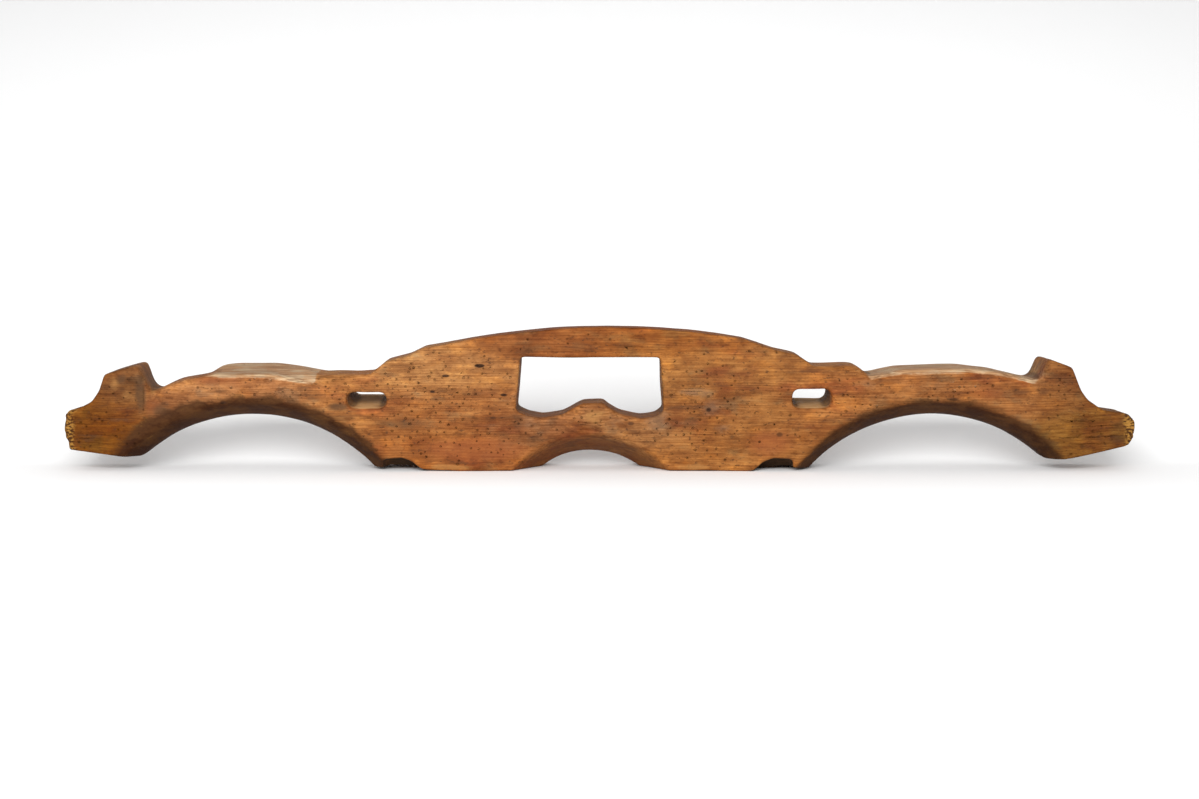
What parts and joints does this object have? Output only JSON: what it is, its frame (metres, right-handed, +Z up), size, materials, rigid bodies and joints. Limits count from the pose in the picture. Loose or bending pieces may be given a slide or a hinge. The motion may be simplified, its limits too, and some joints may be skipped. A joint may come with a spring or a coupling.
{
  "type": "ox yoke",
  "caption": "Double ox yoke hewn from one timber: two neck arches, a slotted centre plate with a draught window, and horned ends for lashings.",
  "frame": {"origin": "on the ground under the middle of the bounding box, between the two neck arches", "axes": "+X along the timber, +Z up, -Y the front face with the deeper scallop bevel and the two bottom notches"},
  "size_m": [1.3, 0.096, 0.174],
  "materials": {
    "timber": "old hewn softwood, waxed by use, orange brown with dark greasy neck arches, worm holes and grey weathered tops"
  },
  "bodies": {
    "root": {"yoke_beam": "timber"}
  },
  "joints": []
}
